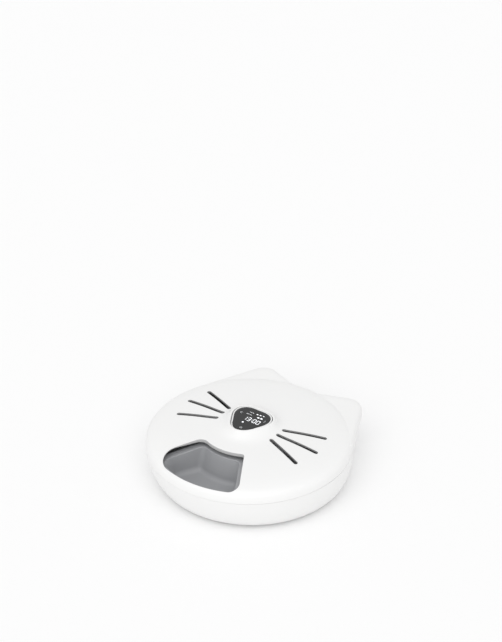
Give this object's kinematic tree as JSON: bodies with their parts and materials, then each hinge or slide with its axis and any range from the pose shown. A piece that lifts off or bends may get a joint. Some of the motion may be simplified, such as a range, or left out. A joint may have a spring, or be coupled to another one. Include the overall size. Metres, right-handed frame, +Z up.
{
  "type": "smart pet feeder",
  "caption": "Round cat-faced pet feeder: lid with ears, whisker slots and a mouth over a turning tray of food wells, ice packs below, display in the nose.",
  "frame": {"origin": "centre of the feeder's footprint box, on the surface that its feet stand on", "axes": "+X to the feeder's right ear as drawn, +Y towards the ears at the back, +Z up; the mouth faces -Y"},
  "size_m": [0.32, 0.3376, 0.1004],
  "materials": {
    "white": "satin",
    "tray_grey": "satin",
    "pack_blue": "satin",
    "gel": "smooth",
    "acetal": "satin",
    "steel": "satin",
    "window_black": "polished",
    "board_green": "satin",
    "cable_black": "matte",
    "cell_jacket": "satin",
    "foot_rubber": "matte"
  },
  "bodies": {
    "base": {"base_shell": "white", "bottom_cover": "white", "battery_box": "white", "battery_1": "cell_jacket", "battery_2": "cell_jacket", "battery_3": "cell_jacket", "battery_4": "cell_jacket", "contact_plate_front": "steel", "contact_plate_back": "steel", "gearbox_plate": "white", "bearing_ring": "acetal", "idler_axle": "steel", "motor": "steel", "motor_screw_1": "steel", "motor_screw_2": "steel", "plate_screw_1": "steel", "plate_screw_2": "steel", "plate_screw_3": "steel", "cover_screw_1": "steel", "cover_screw_2": "steel", "cover_screw_3": "steel", "cover_screw_4": "steel", "foot_1": "foot_rubber", "foot_2": "foot_rubber", "foot_3": "foot_rubber", "foot_4": "foot_rubber", "control_board": "board_green", "buzzer": "window_black", "position_sensor": "window_black", "display_pod": "white", "display_window": "window_black", "display_board": "board_green", "display_cable": "cable_black", "power_inlet": "steel", "inlet_board": "board_green"},
    "turntable": {"turntable": "white", "ring_gear": "acetal"},
    "tray": {"food_tray": "tray_grey"},
    "lid": {"lid_shell": "white"},
    "ice_left": {"ice_pack_left": "pack_blue", "ice_gel_left": "gel", "fill_plug_left": "pack_blue"},
    "ice_right": {"ice_pack_right": "pack_blue", "ice_gel_right": "gel", "fill_plug_right": "pack_blue"},
    "idler": {"idler_gear": "acetal"},
    "pinion": {"motor_pinion": "acetal", "motor_shaft": "steel"},
    "battery_door": {"battery_door": "white"}
  },
  "joints": [
    {"name": "turntable_spin", "type": "hinge", "parent": "base", "child": "turntable", "pos_m": [0, -0.00884, 0.062], "axis": [0, 0, 1], "continuous": true},
    {"name": "idler_spin", "type": "hinge", "parent": "base", "child": "idler", "pos_m": [0, 0.02956, 0.0495], "axis": [0, 0, 1], "continuous": true},
    {"name": "pinion_spin", "type": "hinge", "parent": "base", "child": "pinion", "pos_m": [-0.02739, 0.02066, 0.0495], "axis": [0, 0, 1], "continuous": true},
    {"name": "lid_lift", "type": "slide", "parent": "base", "child": "lid", "axis": [0, 0, 1], "range_m": [0, 0.4096]},
    {"name": "tray_lift", "type": "slide", "parent": "turntable", "child": "tray", "axis": [0, 0, 1], "range_m": [0, 0.3008]},
    {"name": "ice_pack_left_lift", "type": "slide", "parent": "base", "child": "ice_left", "axis": [0, 0, 1], "range_m": [0, 0.2086]},
    {"name": "ice_pack_right_lift", "type": "slide", "parent": "base", "child": "ice_right", "axis": [0, 0, 1], "range_m": [0, 0.2086]},
    {"name": "battery_door_hinge", "type": "hinge", "parent": "base", "child": "battery_door", "pos_m": [0, -0.06684, 0.0039], "axis": [-1, 0, 0], "range_deg": [0, 95]}
  ],
  "couplings": [
    {"joint": "idler_spin", "follows": "turntable_spin", "ratio": 3},
    {"joint": "pinion_spin", "follows": "turntable_spin", "ratio": -6},
    {"joint": "tray_lift", "follows": "lid_lift", "ratio": 0.734},
    {"joint": "ice_pack_left_lift", "follows": "lid_lift", "ratio": 0.509},
    {"joint": "ice_pack_right_lift", "follows": "lid_lift", "ratio": 0.509}
  ]
}
